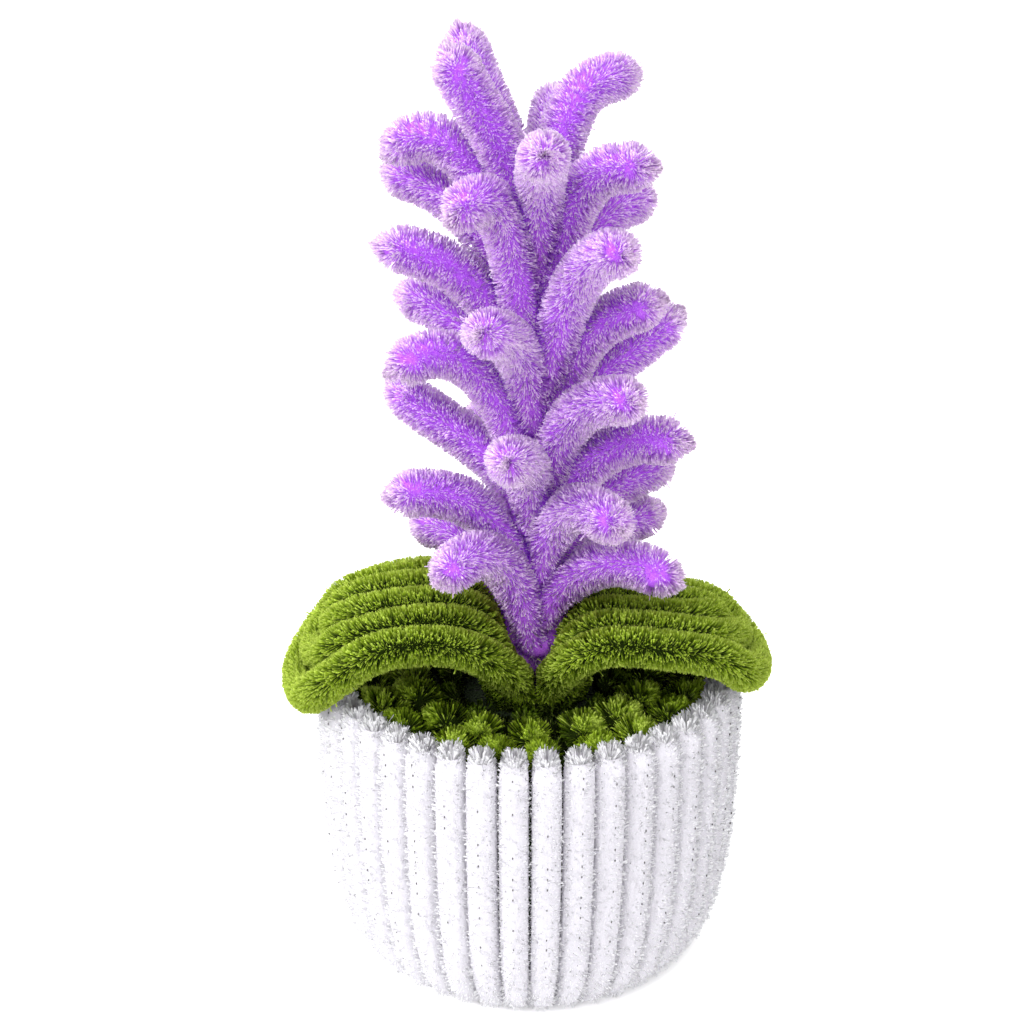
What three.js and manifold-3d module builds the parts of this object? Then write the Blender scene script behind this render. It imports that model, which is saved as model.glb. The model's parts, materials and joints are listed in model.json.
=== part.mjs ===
// A potted hyacinth handmade from chenille stems: fuzzy pile on a twisted wire core.
// White stems stand side by side as the pot, green stems are the moss and two leaves,
// and purple stems folded into V shapes round a stalk are the flower spike.
// Each stem's solid is the body of its pile, which thins where stems are crowded together.
// Millimetres, +Z up, the origin at the middle of the pot's flat underside, the front at -Y.

import * as THREE from 'three';
import { mergeVertices } from 'three/addons/utils/BufferGeometryUtils.js';
import Module from 'manifold-3d';

// Clearance kept between two pieces that touch on the real object
const GAP = 0.3;

// Pot: a ring of ribs, two to a stem, each stem folded under the base
const RIB_COUNT = 40;
const FOLD_RADIUS = 19.9;
const FOLD_HEIGHT = 2.0;
const BASE_RADIUS = 16.5;
const BASE_THICKNESS = 4.0;
const BASE_EDGE = 0.6;

// One rib's core line as radius and height, from the rim down the wall and in under the base
const RIM_RADIUS = 30.7;
const RIB_LINE = [
  [RIM_RADIUS, 48.6],
  [RIM_RADIUS, 47.2],
  [RIM_RADIUS, 38],
  [30.4, 28],
  [29.6, 18.5],
  [28.1, 10.8],
  [25.8, 5.8],
  [22.9, 3.1],
  [FOLD_RADIUS, FOLD_HEIGHT],
];
const RIM_ROUNDING = 0.8;

// Places round the half circle that joins two ribs under the base, in degrees
const FOLD_TURNS = [142, 180, 218];

// Filling: a foam plug with a plain hole for the stalk
const PLUG_TOP = 42.6;
const PLUG_BOTTOM = BASE_THICKNESS + GAP;
const PLUG_FLOOR_RADIUS = 17.4;
const PLUG_CLEARANCE = 0.45;
const STALK_HOLE_RADIUS = 1.6;
const STALK_FOOT = 22.0;

// Moss: three rings that lie on the plug, each rising and falling in even humps
const MOSS_RINGS = [
  { name: 'moss_ring_outer', radius: 24.8, thickness: 3.2, height: 46.4, humps: 22 },
  { name: 'moss_ring_middle', radius: 18.4, thickness: 2.85, height: 46.2, humps: 17 },
  { name: 'moss_ring_inner', radius: 12.35, thickness: 2.8, height: 45.8, humps: 12 },
];
const HUMP_LIFT = 1.08;
const HUMP_DIP = 0.3;
const HUMP_NARROWING = 0.14;

// Flower: V-shaped stems stacked along the stalk, which leans a little to the right
const FLOWER_X = 1.0;
const STALK_RADIUS = 0.6;
const STALK_FOOT_RADIUS = 1.25;
const STALK_SHOULDER = 41.6;
const STALK_NECK = 46.0;
const STALK_TOP = 121.5;
const STALK_TIP_LENGTH = 1;
const STALK_TIP_RADIUS = 0.36;
const LOWEST_FOLD = 49.6;
const FOLD_PITCH = 4.12;
const FOLD_SAG = 0.35;
const FOLD_STEP = 32;
const FLORET_ROOT = 1.4;
const ARM_STEPS = 9;
const ARM_STRAIGHT = 10.3;
const ARM_LEAN = 4.6;
const ARM_CLIMB = 0.63;
const ARM_ROUNDING = 0.78;

// An arm's radius by how far it is from the stalk: crowded roots are thin, the free end is full
const ARM_GROWTH = [[1.4, 0.45], [2.6, 0.5], [3.6, 0.75], [4.6, 1.1], [6.5, 1.95], [9.5, 3.1], [12.5, 3.6]];

// Two arms of each V stem: [azimuth, reach, tip height, tip slope], degrees and mm,
// from the lowest stem to the highest; azimuth 0 is the right, -90 the front.
// A fifth value is the share of its rise that the arm climbs before it bends, where it has its own
const FLORET_STEMS = [
  [[142, 21.5, 66.9, -7], [74, 21.2, 66.8, -1]],
  [[36, 21.8, 68.9, -2], [-126, 21.9, 73.8, -15, 0.7]],
  [[-33, 22.5, 70.4, -15], [102, 21.4, 72.2, -2]],
  [[-160, 21, 81.5, 0], [32, 22.1, 77.6, 3]],
  [[-61, 22.5, 82.6, -5, 0.7], [113, 21.2, 82.7, 4]],
  [[-13, 20.6, 89, -6], [72, 21, 90.6, 5]],
  [[155, 22.4, 91, 33], [-101, 22.1, 93.2, 20]],
  [[-51, 20.5, 100.2, 13], [103, 21.2, 97.7, 9]],
  [[-162, 20.3, 102.2, -26], [30, 22.9, 101.8, 30]],
  [[146, 22.5, 105.5, 3], [-16, 16.4, 110.7, 21]],
  [[-112, 20.5, 111.8, 18], [81, 21, 110.3, 8]],
  [[182, 20.7, 118.1, 10], [-58, 21.4, 123.2, 8, 0.4]],
  [[-130, 16.7, 127.9, -25], [44, 21.1, 120.3, -9]],
  [[149, 23.7, 125.1, 0], [114, 21.4, 118.7, 8]],
  [[-28, 16, 132.6, 4], [82, 21.5, 123.4, 10]],
  [[166, 20.6, 132, -38], [82, 20.2, 134, 28]],
  [[119, 22.4, 143.2, 50, 0.5], [-88, 20.2, 138.3, 23]],
  [[189, 12.1, 146, 66], [39, 15.8, 141, -5, 0.78]],
];

// Leaves: three nested loops each, pointed at the tip and gathered at the base
const LEAF_THICK = 2.78;
const LEAF_THIN = 1.2;
const LEAF_GROWTH = 0.1;
const LEAF_THIN_LENGTH = 5;
const LEAF_FOOT = 43;
const LEAF_FOOT_TOP = 47.2;
const LEAF_FOOT_RADIUS = 6.2;
const LEAF_LOOPS = [
  { name: 'outer', halfWidth: 16, length: 1.0, footAngle: 72, steps: 24 },
  { name: 'middle', halfWidth: 9.25, length: 0.89, footAngle: 42, steps: 24 },
  { name: 'inner', halfWidth: 3.05, length: 0.77, footAngle: 13, steps: 18 },
];

// Where a loop leaves the neck, and the width of its front and back along the rest, as shares
const LEAF_SPREAD = 0.28;
const LEAF_FRONT = [[0, 0.89], [0.18, 0.97], [0.42, 1], [0.7, 1.07], [0.89, 0.83]];
const LEAF_BACK = [[0, 0.84], [0.18, 0.98], [0.42, 1], [0.7, 0.93], [0.89, 0.81]];

// The blade is nearly level in front of its middle line, and each leaf falls away behind it
const LEAF_FRONT_FALL = 0.002;

// The pile is squeezed where a loop turns at its tip
const TIP_SQUEEZE = 0.25;
const TIP_STEPS = 1.6;

// Each leaf's middle line from the moss to the tip, with its out direction along X,
// and how much the blade is rolled: height gained for each millimetre towards the back
const LEAF_SIDES = [
  {
    name: 'left',
    facing: -1,
    roll: 0,
    backFall: 0.0175,
    line: [[6.2, 0, LEAF_FOOT], [6.8, 0.7, 49.5], [8.2, -0.7, 59.9], [26.6, -2.7, 60.4],
      [30.1, 0.2, 55.5], [36, 4.5, 46.1]],
  },
  {
    name: 'right',
    facing: 1,
    roll: -0.127,
    backFall: 0.0139,
    line: [[6.2, 0, LEAF_FOOT], [6.8, 0.7, 49.5], [8.2, -0.7, 57.9], [24.3, -2.4, 59.2],
      [29.2, 0.3, 56.8], [34.9, 1.6, 49.6]],
  },
];

const TUBE_SIDES = 7;
const STALK_SIDES = 8;
const HUMP_STEPS = 3;
const ROUND_STEPS = 32;
const HOLE_SIDES = 12;

const wasm = await Module();
wasm.setup();

function finish(geometry) {
  geometry.deleteAttribute('normal');
  geometry.deleteAttribute('uv');
  return mergeVertices(geometry, 1e-4);
}

function toSolid(geometry) {
  const closed = finish(geometry);
  return new wasm.Manifold(new wasm.Mesh({
    numProp: 3,
    vertProperties: new Float32Array(closed.attributes.position.array),
    triVerts: new Uint32Array(closed.index.array),
  }));
}

function fromSolid(solid) {
  const mesh = solid.getMesh();
  const geometry = new THREE.BufferGeometry();
  geometry.setAttribute('position', new THREE.BufferAttribute(mesh.vertProperties, 3));
  geometry.setIndex(new THREE.BufferAttribute(mesh.triVerts, 1));
  return geometry;
}

// Any direction that no stem runs along, to start a tube's sides from
const START_SIDE = new THREE.Vector3(0.31, 0.17, 0.93);

// A closed cylinder bent along a row of centres, with a radius of its own at each
function bentTube(centres, radii, sides = TUBE_SIDES) {
  const rings = centres.length - 1;
  const geometry = new THREE.CylinderGeometry(1, 1, 1, sides, rings);
  const tangents = centres.map((centre, i) => {
    const before = centres[Math.max(i - 1, 0)];
    const after = centres[Math.min(i + 1, rings)];
    return after.clone().sub(before).normalize();
  });

  // The first side direction is carried along the path, so the tube doesn't twist
  const aside = START_SIDE.clone().cross(tangents[0]).normalize();
  const normals = tangents.map((tangent) => {
    aside.addScaledVector(tangent, -aside.dot(tangent)).normalize();
    return aside.clone();
  });
  const position = geometry.attributes.position;
  for (let i = 0; i < position.count; i += 1) {
    const ring = Math.round((position.getY(i) + 0.5) * rings);
    const normal = normals[ring];
    const binormal = new THREE.Vector3().crossVectors(normal, tangents[ring]);
    const place = centres[ring].clone()
      .addScaledVector(normal, radii[ring] * position.getX(i))
      .addScaledVector(binormal, radii[ring] * position.getZ(i));
    position.setXYZ(i, place.x, place.y, place.z);
  }
  return finish(geometry);
}

function polar(radius, degrees, z) {
  const angle = THREE.MathUtils.degToRad(degrees);
  return new THREE.Vector3(radius * Math.cos(angle), radius * Math.sin(angle), z);
}

function lathe(outline) {
  const profile = outline.map(([radius, z]) => new THREE.Vector2(radius, z));
  return new THREE.LatheGeometry(profile, ROUND_STEPS).rotateX(Math.PI / 2);
}

// Half the spacing of two ribs on a circle of this radius
function halfSpacing(radius) {
  return radius * Math.sin(Math.PI / RIB_COUNT);
}

// The ribs touch their neighbours all the way down, so they thin as the ring narrows
function ribThickness(radius) {
  return halfSpacing(radius) - GAP / 2;
}

// One stem goes down one rib, turns back in a half circle under the base, and goes up the next
function ribPair() {
  const half = 180 / RIB_COUNT;
  const down = RIB_LINE.map(([radius, z]) => polar(radius, -half, z));
  const up = RIB_LINE.map(([radius, z]) => polar(radius, half, z)).reverse();
  const bend = halfSpacing(FOLD_RADIUS);
  const fold = FOLD_TURNS.map((turn) => {
    const place = polar(bend, turn, FOLD_HEIGHT);
    return new THREE.Vector3(FOLD_RADIUS + place.x, -place.y, FOLD_HEIGHT);
  });
  const thickness = RIB_LINE.map(([radius]) => ribThickness(radius));
  thickness[0] *= RIM_ROUNDING;
  const foldThickness = fold.map(() => ribThickness(FOLD_RADIUS));
  const radii = [...thickness, ...foldThickness, ...thickness.toReversed()];
  return bentTube([...down, ...fold, ...up], radii);
}

function baseCoil() {
  return finish(lathe([
    [0, 0],
    [BASE_RADIUS - BASE_EDGE, 0],
    [BASE_RADIUS, BASE_EDGE],
    [BASE_RADIUS, BASE_THICKNESS - BASE_EDGE],
    [BASE_RADIUS - BASE_EDGE, BASE_THICKNESS],
    [0, BASE_THICKNESS],
  ]));
}

// The plug follows the inside of the ribs, square to their line and clear of them
function foamPlug() {
  const outline = [[0, PLUG_BOTTOM], [PLUG_FLOOR_RADIUS, PLUG_BOTTOM]];
  for (let i = RIB_LINE.length - 3; i > 1; i -= 1) {
    const [radius, z] = RIB_LINE[i];
    const [upperRadius, upperZ] = RIB_LINE[i - 1];
    const [lowerRadius, lowerZ] = RIB_LINE[i + 1];
    const line = new THREE.Vector2(upperRadius - lowerRadius, upperZ - lowerZ).normalize();
    const inward = ribThickness(radius) + PLUG_CLEARANCE;
    outline.push([radius - line.y * inward, z + line.x * inward]);
  }
  const top = RIM_RADIUS - ribThickness(RIM_RADIUS) - PLUG_CLEARANCE;
  outline.push([top, PLUG_TOP], [0, PLUG_TOP]);
  const depth = PLUG_TOP - STALK_FOOT + 1;
  const hole = new THREE.CylinderGeometry(STALK_HOLE_RADIUS, STALK_HOLE_RADIUS, depth, HOLE_SIDES)
    .rotateX(Math.PI / 2)
    .translate(FLOWER_X, 0, STALK_FOOT - GAP + depth / 2);
  return fromSolid(toSolid(lathe(outline)).subtract(toSolid(hole)));
}

function mossRing({ radius, thickness, height, humps }) {
  const geometry = new THREE.TorusGeometry(radius, thickness, TUBE_SIDES, humps * HUMP_STEPS);
  const position = geometry.attributes.position;
  for (let i = 0; i < position.count; i += 1) {
    const x = position.getX(i);
    const y = position.getY(i);
    const z = position.getZ(i);
    const hump = Math.abs(Math.sin(Math.atan2(y, x) * humps / 2));
    const lift = HUMP_LIFT - HUMP_DIP * (1 - Math.sqrt(hump));
    const out = Math.hypot(x, y);
    const narrowed = radius + (out - radius) * (1 - HUMP_NARROWING * (1 - hump));
    const seated = z > 0 ? z * lift : Math.max(z, PLUG_TOP + GAP - height);
    position.setXYZ(i, x * narrowed / out, y * narrowed / out, height + seated);
  }
  return finish(geometry);
}

// An arm climbs the stalk, bends over and ends about level, in the plane of its azimuth
function armCentres(root, [azimuth, reach, tipHeight, slope, climb = ARM_CLIMB]) {
  const tilt = THREE.MathUtils.degToRad(slope);
  const curve = new THREE.CubicBezierCurve(
    new THREE.Vector2(FLORET_ROOT, root),
    new THREE.Vector2(ARM_LEAN, root + climb * (tipHeight - root)),
    new THREE.Vector2(reach - ARM_STRAIGHT * Math.cos(tilt), tipHeight - ARM_STRAIGHT * Math.sin(tilt)),
    new THREE.Vector2(reach, tipHeight),
  );
  const points = curve.getSpacedPoints(ARM_STEPS);
  const radii = points.map((point) => armThickness(point.x));
  radii[ARM_STEPS] *= ARM_ROUNDING;
  return { centres: points.map((point) => polar(point.x, azimuth, point.y)), radii };
}

function armThickness(distance) {
  for (let i = 1; i < ARM_GROWTH.length; i += 1) {
    const [start, thin] = ARM_GROWTH[i - 1];
    const [end, thick] = ARM_GROWTH[i];
    if (distance < end) {
      return THREE.MathUtils.mapLinear(distance, start, end, thin, thick);
    }
  }
  return ARM_GROWTH.at(-1)[1];
}

// The stem's fold goes round the stalk by the shortest way between its two arms
function floretStem(index, [first, second]) {
  const root = LOWEST_FOLD + FOLD_PITCH * index;
  const arms = [first, second].map((arm) => armCentres(root, arm));
  let turn = second[0] - first[0];
  turn -= 360 * Math.round(turn / 360);
  const steps = Math.max(2, Math.round(Math.abs(turn) / FOLD_STEP));
  const fold = [];
  for (let i = 1; i < steps; i += 1) {
    fold.push(polar(FLORET_ROOT, first[0] + turn * i / steps, root - FOLD_SAG));
  }
  const foldRadii = fold.map(() => ARM_GROWTH[0][1]);
  const centres = [...arms[0].centres.toReversed(), ...fold, ...arms[1].centres];
  const radii = [...arms[0].radii.toReversed(), ...foldRadii, ...arms[1].radii];
  const place = new THREE.Vector3(FLOWER_X, 0, 0);
  return bentTube(centres.map((centre) => centre.add(place)), radii);
}

function stalk() {
  const sections = [
    [STALK_FOOT, STALK_FOOT_RADIUS],
    [STALK_SHOULDER, STALK_FOOT_RADIUS],
    [STALK_NECK, STALK_RADIUS],
    [STALK_TOP - STALK_TIP_LENGTH, STALK_RADIUS],
    [STALK_TOP, STALK_TIP_RADIUS],
  ];
  const centres = sections.map(([z]) => new THREE.Vector3(FLOWER_X, 0, z));
  return bentTube(centres, sections.map(([, radius]) => radius), STALK_SIDES);
}

// How far out and how far across gives a place on the arched blade
function leafPlace(side, out, across) {
  const points = side.line.map(([x, y, z]) => new THREE.Vector3(x, y, z));
  const middle = new THREE.CatmullRomCurve3(points).getPointAt(out);
  const fall = (across < 0 ? LEAF_FRONT_FALL : side.backFall) * across ** 2;
  const z = middle.z + side.roll * across - fall;
  return new THREE.Vector3(side.facing * middle.x, middle.y + across, z);
}

// A loop rises from the moss at the front, goes out to the leaf's tip, and comes back behind
function leafLoop(side, { halfWidth, length, footAngle, steps }) {
  const feet = (sign) => [LEAF_FOOT, LEAF_FOOT_TOP].map((z) => {
    const foot = polar(LEAF_FOOT_RADIUS, footAngle * sign, z);
    return new THREE.Vector3(side.facing * foot.x + FLOWER_X, foot.y, z);
  });
  const run = (outline, sign) => outline.map(([share, width]) => {
    const out = THREE.MathUtils.lerp(LEAF_SPREAD, length, share);
    return leafPlace(side, out, sign * width * halfWidth);
  });
  const tip = leafPlace(side, length, 0);
  const guide = new THREE.CatmullRomCurve3([
    ...feet(-1), ...run(LEAF_FRONT, -1), tip, ...run(LEAF_BACK, 1).reverse(), ...feet(1).reverse(),
  ]);
  const centres = guide.getSpacedPoints(steps);
  const stepLength = guide.getLength() / steps;
  const radii = centres.map((centre, i) => {
    const fromFoot = stepLength * Math.min(i, steps - i);
    const grown = LEAF_THIN + Math.max(0, fromFoot - LEAF_THIN_LENGTH) * LEAF_GROWTH;
    const squeeze = 1 - TIP_SQUEEZE * Math.exp(-(((i - steps / 2) / TIP_STEPS) ** 2));
    return Math.min(LEAF_THICK, grown) * squeeze;
  });
  return bentTube(centres, radii);
}

function finishOf(colour, roughness) {
  return new THREE.MeshStandardMaterial({ color: colour, roughness, metalness: 0 });
}

const whitePile = finishOf(0xf4f3f8, 0.95);
const mossPile = finishOf(0x7fa82f, 0.95);
const leafPile = finishOf(0x86ad33, 0.95);
const purplePile = finishOf(0xb57af0, 0.95);
const foam = finishOf(0x3f5a2c, 0.9);

const hyacinth = new THREE.Group();

function add(name, geometry, material, parent = hyacinth) {
  const mesh = new THREE.Mesh(geometry, material);
  mesh.name = name;
  parent.add(mesh);
  return mesh;
}

const pot = new THREE.Group();
hyacinth.add(pot);
add('pot_base_coil', baseCoil(), whitePile, pot);
const pair = ribPair();
const pairCount = RIB_COUNT / 2;
for (let i = 0; i < pairCount; i += 1) {
  const number = String(i + 1).padStart(2, '0');
  const ribs = add(`pot_rib_pair_${number}`, pair.clone(), whitePile, pot);
  ribs.rotation.z = 2 * Math.PI * i / pairCount - Math.PI / 2;
}

add('foam_plug', foamPlug(), foam);
for (const ring of MOSS_RINGS) {
  add(ring.name, mossRing(ring), mossPile);
}

for (const side of LEAF_SIDES) {
  for (const loop of LEAF_LOOPS) {
    add(`leaf_${side.name}_${loop.name}`, leafLoop(side, loop), leafPile);
  }
}

add('flower_stalk', stalk(), purplePile);
FLORET_STEMS.forEach((arms, index) => {
  const number = String(index + 1).padStart(2, '0');
  add(`floret_stem_${number}`, floretStem(index, arms), purplePile);
});

export default hyacinth;
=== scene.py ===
# %% [markdown]
# A hyacinth in a pot, handmade from chenille stems.
# A chenille stem is two thin wires twisted together with a dense fringe of fibres caught
# between them. Every surface of this object is that fringe, which makers call the pile.
# So the lesson is mostly about one thing: how to grow a believable pile along a bent wire,
# and how to press many such stems together into a pot, moss, leaves and a flower.
# The measured model comes in first. It is the frame that every soft piece is built on.

# %% Load the frame
import json
import math
from functools import partial

import bpy
import numpy as np
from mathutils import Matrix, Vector

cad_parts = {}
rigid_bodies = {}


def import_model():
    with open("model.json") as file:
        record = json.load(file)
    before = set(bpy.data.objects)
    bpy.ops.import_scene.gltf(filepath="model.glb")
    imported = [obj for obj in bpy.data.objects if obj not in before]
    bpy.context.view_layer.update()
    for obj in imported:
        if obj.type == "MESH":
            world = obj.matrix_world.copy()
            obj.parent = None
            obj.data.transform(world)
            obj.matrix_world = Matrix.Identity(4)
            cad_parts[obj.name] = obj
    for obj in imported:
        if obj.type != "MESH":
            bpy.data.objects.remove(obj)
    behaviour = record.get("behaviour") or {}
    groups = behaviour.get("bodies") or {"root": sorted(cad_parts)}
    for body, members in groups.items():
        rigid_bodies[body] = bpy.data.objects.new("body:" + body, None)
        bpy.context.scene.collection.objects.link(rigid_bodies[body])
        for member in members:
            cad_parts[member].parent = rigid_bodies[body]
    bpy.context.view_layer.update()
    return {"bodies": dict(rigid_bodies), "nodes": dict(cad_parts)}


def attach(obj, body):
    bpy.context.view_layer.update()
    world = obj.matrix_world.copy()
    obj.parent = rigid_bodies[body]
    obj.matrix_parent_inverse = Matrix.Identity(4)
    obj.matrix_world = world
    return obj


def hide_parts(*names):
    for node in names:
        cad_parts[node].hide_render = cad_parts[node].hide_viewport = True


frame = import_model()
BODY = next(iter(frame["bodies"]))
MM = 0.001
print("frame loaded:", len(frame["nodes"]), "nodes on body", BODY)

# %% [markdown]
# The camera comes first.
# The photograph looks about 25 degrees down from 0.41 m away. The ellipse of the pot's rim
# gives the angle, and how much the base is narrowed by distance gives the distance.

# %% Camera
CAMERA_DISTANCE = 413.5 * MM
CAMERA_ELEVATION = math.radians(25.0)
CAMERA_TARGET = Vector((-2.7, 0.0, 75.2)) * MM
CAMERA_LENS = 94.92

camera_data = bpy.data.cameras.new("camera")
camera_data.lens = CAMERA_LENS
camera_data.sensor_width = 36.0
camera_data.clip_start = 0.01
camera = bpy.data.objects.new("camera", camera_data)
bpy.context.scene.collection.objects.link(camera)
back = Vector((0.0, -math.cos(CAMERA_ELEVATION), math.sin(CAMERA_ELEVATION)))
camera.location = CAMERA_TARGET + back * CAMERA_DISTANCE
camera.rotation_euler = back.to_track_quat("Z", "Y").to_euler()
bpy.context.scene.camera = camera
print("camera at", [round(c, 3) for c in camera.location])

# %% [markdown]
# Each stem's wire is a line through space. The lines repeat the sizes of the measured model,
# in millimetres, so the soft pieces sit exactly where the solids are. Two curve types are
# enough: a Bezier arm for a floret and a smooth curve through given points elsewhere.

# %% Helpers for lines through space
CURVE_SAMPLES = 40


def polar(radius, degrees, z):
    """A point at a distance and a compass angle round the upright axis."""
    angle = math.radians(degrees)
    return np.array([radius * math.cos(angle), radius * math.sin(angle), z])


def lengths_along(points):
    """How far along the line each of its points is."""
    return np.concatenate([[0], np.cumsum(np.linalg.norm(np.diff(points, axis=0), axis=1))])


def spaced(points, step):
    """The same line with its points an even step apart."""
    points = np.asarray(points, float)
    lengths = lengths_along(points)
    count = max(2, round(lengths[-1] / step) + 1)
    marks = np.linspace(0, lengths[-1], count)
    return np.column_stack([np.interp(marks, lengths, points[:, k]) for k in range(3)])


def smooth_line(points):
    """A centripetal Catmull-Rom curve through the points, which never overshoots."""
    points = np.asarray(points, float)
    padded = np.vstack([2 * points[0] - points[1], points, 2 * points[-1] - points[-2]])
    line = []
    for p0, p1, p2, p3 in zip(padded, padded[1:], padded[2:], padded[3:]):
        d1, d2, d3 = (max(np.linalg.norm(b - a) ** 0.5, 1e-6)
                      for a, b in ((p0, p1), (p1, p2), (p2, p3)))
        leave = ((p1 - p0) / d1 - (p2 - p0) / (d1 + d2) + (p2 - p1) / d2) * d2
        arrive = ((p2 - p1) / d2 - (p3 - p1) / (d2 + d3) + (p3 - p2) / d3) * d2
        for t in np.linspace(0, 1, CURVE_SAMPLES, endpoint=False):
            line.append(p1 * (2 * t ** 3 - 3 * t ** 2 + 1) + leave * (t ** 3 - 2 * t ** 2 + t)
                        + p2 * (-2 * t ** 3 + 3 * t ** 2) + arrive * (t ** 3 - t ** 2))
    return np.array(line + [points[-1]])


def at_share(line, share):
    """The point at a share of a line's length."""
    lengths = lengths_along(line)
    return np.array([np.interp(share * lengths[-1], lengths, line[:, k]) for k in range(3)])


# %% [markdown]
# A stem remembers more than its line. Each point of it knows how long the pile is there, how
# thickly it grows, how far off the cut end is, and which side nobody can see.
# These facts are attributes on a mesh of plain edges, which the node tree reads.

# %% The record of one stem
CORE_STEP = 0.5
FAR_FROM_END = 99.0
CROWDED_FROM = (14, 22)
strands = []


def spread_along(value, count):
    """One value for each point of a line, from a number or from a list along the line."""
    value = np.atleast_1d(np.asarray(value, float))
    return np.interp(np.linspace(0, 1, count), np.linspace(0, 1, len(value)), value)


def strand(line, pile, end_free=False, hidden=(0, 0, 0), fullness=1.0, trim=1.0):
    """One stretch of stem: its line, its pile length, and whether its last point is a cut end.

    hidden is the side that nobody can see, or a function that gives it for a point. fullness
    is how thickly the stem is grown, and trim how much of its pile was left by the scissors; a
    shorter pile is also coloured with darker painted shade.
    """
    line = spaced(line, CORE_STEP)
    count = len(line)
    along = np.arange(count) * np.linalg.norm(line[1] - line[0])
    end = along[-1] - along if end_free else np.full(count, FAR_FROM_END)
    made = {
        "line": line,
        "pile": spread_along(pile, count),
        "trim": spread_along(trim, count),
        "along": along,
        "end": end,
        "hidden": np.array([hidden(p) if callable(hidden) else hidden for p in line], float),
        "fullness": np.interp(end, CROWDED_FROM, [1.0, fullness]),
        "id": len(strands) + 1,
    }
    strands.append(made)
    return made


# %% Stems as a mesh of edges
TUFT_LINES = 3
TUFT_LENGTH = 1.5
STRAND_FACTS = {"pile": MM, "along": MM, "end": MM, "fullness": 1.0, "trim": 1.0}


def path_object(name, parts):
    """A mesh of edges for some strands, with extra short lines where a cut end opens."""
    runs = []
    for part in parts:
        runs.append((part, np.arange(len(part["line"])), 0))
        near = np.flatnonzero(part["end"] <= TUFT_LENGTH)
        if len(near) > 1:
            runs.extend([(part, near, 1)] * TUFT_LINES)
    vertices, edges = [], []
    for part, chosen, extra in runs:
        start = len(vertices)
        vertices.extend(part["line"][chosen] * MM)
        edges.extend((start + i, start + i + 1) for i in range(len(chosen) - 1))
    mesh = bpy.data.meshes.new(name)
    mesh.from_pydata(vertices, edges, [])
    for key, scale in STRAND_FACTS.items():
        values = np.concatenate([part[key][chosen] * scale for part, chosen, extra in runs])
        mesh.attributes.new(key, "FLOAT", "POINT").data.foreach_set("value", values.astype(np.float32))
    sides = np.concatenate([part["hidden"][chosen] for part, chosen, extra in runs])
    sides = sides.astype(np.float32).ravel()
    mesh.attributes.new("hidden", "FLOAT_VECTOR", "POINT").data.foreach_set("vector", sides)
    ids = np.concatenate([np.full(len(chosen), part["id"]) for part, chosen, extra in runs])
    doubles = np.concatenate([np.full(len(chosen), extra) for part, chosen, extra in runs])
    for key, values in (("strand", ids), ("extra", doubles)):
        mesh.attributes.new(key, "INT", "POINT").data.foreach_set("value", values.astype(np.int32))
    made = bpy.data.objects.new(name, mesh)
    bpy.context.scene.collection.objects.link(made)
    return made


# %% [markdown]
# The flower. Eighteen stems are folded into V shapes and tied along the stalk. Each arm climbs
# beside the stalk, leans out, and ends about level. An arm is a Bezier curve in the upright
# plane of its compass angle.

# %% Flower lines
FLOWER_X = 1.0
LOWEST_FOLD = 49.6
FOLD_PITCH = 4.12
FOLD_SAG = 0.35
FLORET_ROOT = 1.4
ARM_STRAIGHT = 10.3
ARM_LEAN = 4.6
ARM_CLIMB = 0.63
FLORET_PILE = 3.9
FLORET_STEMS = [
    [(142, 21.5, 66.9, -7), (74, 21.2, 66.8, -1)],
    [(36, 21.8, 68.9, -2), (-126, 21.9, 73.8, -15, 0.7)],
    [(-33, 22.5, 70.4, -15), (102, 21.4, 72.2, -2)],
    [(-160, 21, 81.5, 0), (32, 22.1, 77.6, 3)],
    [(-61, 22.5, 82.6, -5, 0.7), (113, 21.2, 82.7, 4)],
    [(-13, 20.6, 89, -6), (72, 21, 90.6, 5)],
    [(155, 22.4, 91, 33), (-101, 22.1, 93.2, 20)],
    [(-51, 20.5, 100.2, 13), (103, 21.2, 97.7, 9)],
    [(-162, 20.3, 102.2, -26), (30, 22.9, 101.8, 30)],
    [(146, 22.5, 105.5, 3), (-16, 16.4, 110.7, 21)],
    [(-112, 20.5, 111.8, 18), (81, 21, 110.3, 8)],
    [(182, 20.7, 118.1, 10), (-58, 21.4, 123.2, 8, 0.4)],
    [(-130, 16.7, 127.9, -25), (44, 21.1, 120.3, -9)],
    [(149, 23.7, 125.1, 0), (114, 21.4, 118.7, 8)],
    [(-28, 16, 132.6, 4), (82, 21.5, 123.4, 10)],
    [(166, 20.6, 132, -38), (82, 20.2, 134, 28)],
    [(119, 22.4, 143.2, 50, 0.5), (-88, 20.2, 138.3, 23)],
    [(189, 12.1, 146, 66), (39, 15.8, 141, -5, 0.78)],
]


def arm_line(root, azimuth, reach, tip_height, slope, climb=ARM_CLIMB):
    """An arm's wire, from the fold at the stalk to the cut tip."""
    tilt = math.radians(slope)
    corners = np.array([
        (FLORET_ROOT, root),
        (ARM_LEAN, root + climb * (tip_height - root)),
        (reach - ARM_STRAIGHT * math.cos(tilt), tip_height - ARM_STRAIGHT * math.sin(tilt)),
        (reach, tip_height),
    ])
    t = np.linspace(0, 1, 60)[:, None]
    flat = ((1 - t) ** 3 * corners[0] + 3 * (1 - t) ** 2 * t * corners[1]
            + 3 * (1 - t) * t ** 2 * corners[2] + t ** 3 * corners[3])
    return np.array([polar(out, azimuth, up) for out, up in flat]) + [FLOWER_X, 0, 0]


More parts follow.
